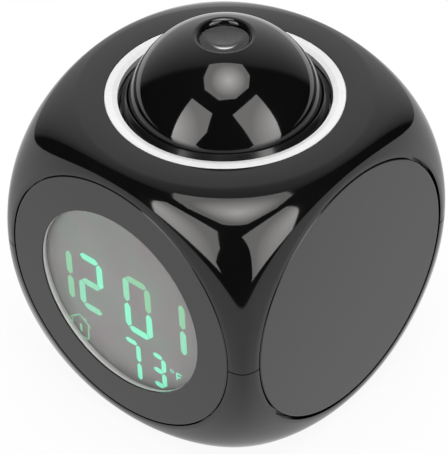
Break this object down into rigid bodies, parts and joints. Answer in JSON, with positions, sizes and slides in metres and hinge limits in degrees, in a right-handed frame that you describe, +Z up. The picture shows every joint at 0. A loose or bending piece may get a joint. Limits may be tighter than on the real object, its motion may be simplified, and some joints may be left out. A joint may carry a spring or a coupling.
{
  "type": "projection alarm clock",
  "caption": "Round-cornered cube desk clock with a round display on one side and a projector ball set in its top that presses, swivels and tilts.",
  "frame": {"origin": "middle of the base, on the surface that the rubber feet stand on", "axes": "+Z up, the display faces -Y, the projector ball is on top and the plain side covers face +X and -X"},
  "size_m": [0.08, 0.08, 0.098],
  "materials": {
    "shell": "high gloss",
    "face": "high gloss",
    "collar": "dark, on plastic",
    "ball": "high gloss",
    "frame": "moulded",
    "window": "clear",
    "cell": "polarised film",
    "backlight": "milky",
    "strip": "matt",
    "board": "solder mask",
    "chip": "potted",
    "sensor": "dipped",
    "screw": "zinc plated",
    "button": "satin",
    "part": "moulded",
    "can": "pressed",
    "paper": "coated paper cone",
    "magnet": "plated",
    "ring": "satin, on plastic",
    "spring": "drawn wire",
    "lens": "clear",
    "film": "polarised",
    "led": "clear red",
    "cellcase": "plain wrapped steel",
    "contact": "nickel plated",
    "foot": "matt"
  },
  "bodies": {
    "housing": {"upper_shell": "shell", "lower_shell": "shell", "front_bezel": "face", "display_frame": "frame", "display_window": "window", "lcd_cell": "cell", "backlight_plate": "backlight", "lcd_connector": "strip", "main_board": "board", "clock_chip": "chip", "temperature_sensor": "sensor", "main_board_screws": "screw", "right_cover": "face", "left_cover": "face", "back_panel": "face", "button_board": "board", "button_switches": "part", "slide_switch": "can", "button_board_screws": "screw", "speaker_frame": "can", "speaker_cone": "paper", "speaker_magnet": "magnet", "trim_ring": "ring", "switch_board": "board", "press_switch": "part", "switch_board_screws": "screw", "press_springs": "spring", "battery_cell_1": "cellcase", "battery_cell_2": "cellcase", "battery_cell_3": "cellcase", "contact_springs": "spring", "contact_plates": "contact", "rubber_feet": "foot", "case_screws": "screw"},
    "carrier": {"press_carrier": "part"},
    "collar": {"swivel_collar": "collar"},
    "ball": {"ball_cover": "ball", "ball_base": "ball", "tilt_pins": "screw", "ball_screws": "screw", "projector_lens": "lens", "lens_barrel": "part", "projector_film": "film", "led_board": "board", "projector_led": "led"},
    "mode_key": {"mode_button": "button"},
    "set_key": {"set_button": "button"},
    "up_key": {"up_button": "button"},
    "down_key": {"down_button": "button"},
    "slider": {"slider_knob": "button"},
    "door": {"battery_door": "face", "door_pins": "screw"}
  },
  "joints": [
    {"name": "press", "type": "slide", "parent": "housing", "child": "carrier", "axis": [0, 0, -1], "range_m": [0, 0.0015], "stiffness_N_per_m": 800, "springref_m": -0.002, "deforming": ["press_springs"]},
    {"name": "swivel", "type": "hinge", "parent": "carrier", "child": "collar", "pos_m": [0, 0, 0.0752], "axis": [0, 0, 1], "range_deg": [-90, 90]},
    {"name": "tilt", "type": "hinge", "parent": "collar", "child": "ball", "pos_m": [0, 0, 0.0752], "axis": [1, 0, 0], "range_deg": [-45, 45]},
    {"name": "mode_press", "type": "slide", "parent": "housing", "child": "mode_key", "axis": [0, -1, 0], "range_m": [0, 0.0005], "stiffness_N_per_m": 400, "springref_m": -0.0005},
    {"name": "set_press", "type": "slide", "parent": "housing", "child": "set_key", "axis": [0, -1, 0], "range_m": [0, 0.0005], "stiffness_N_per_m": 400, "springref_m": -0.0005},
    {"name": "up_press", "type": "slide", "parent": "housing", "child": "up_key", "axis": [0, -1, 0], "range_m": [0, 0.0005], "stiffness_N_per_m": 400, "springref_m": -0.0005},
    {"name": "down_press", "type": "slide", "parent": "housing", "child": "down_key", "axis": [0, -1, 0], "range_m": [0, 0.0005], "stiffness_N_per_m": 400, "springref_m": -0.0005},
    {"name": "slide", "type": "slide", "parent": "housing", "child": "slider", "axis": [1, 0, 0], "range_m": [0, 0.003]},
    {"name": "door_hinge", "type": "hinge", "parent": "housing", "child": "door", "pos_m": [0, -0.01595, 0.0021], "axis": [-1, 0, 0], "range_deg": [0, 80]}
  ]
}
